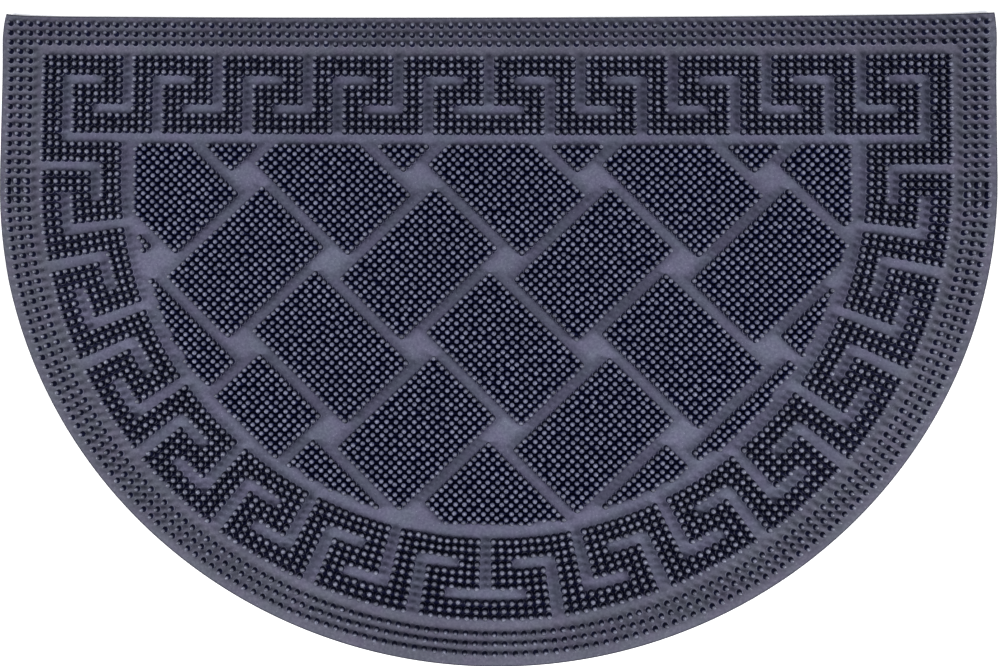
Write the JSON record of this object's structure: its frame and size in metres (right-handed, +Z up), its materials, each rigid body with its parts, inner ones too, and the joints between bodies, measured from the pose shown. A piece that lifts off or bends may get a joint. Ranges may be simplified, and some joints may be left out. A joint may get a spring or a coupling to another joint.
{
  "type": "half-round rubber pin doormat",
  "caption": "Flat half-round rubber doormat with raised pins in a studded border, a Greek key band and a basket weave centre.",
  "frame": {"origin": "middle of the mat's bounding box, on the floor under it", "axes": "+Z up from the floor, +Y towards the straight edge, +X to the right seen from above"},
  "size_m": [0.602, 0.3882, 0.007],
  "materials": {
    "rubber": "dull moulded rubber, blue-black, darker between the pins and a little shiny on their tops"
  },
  "bodies": {
    "root": {"mat": "rubber"}
  },
  "joints": []
}
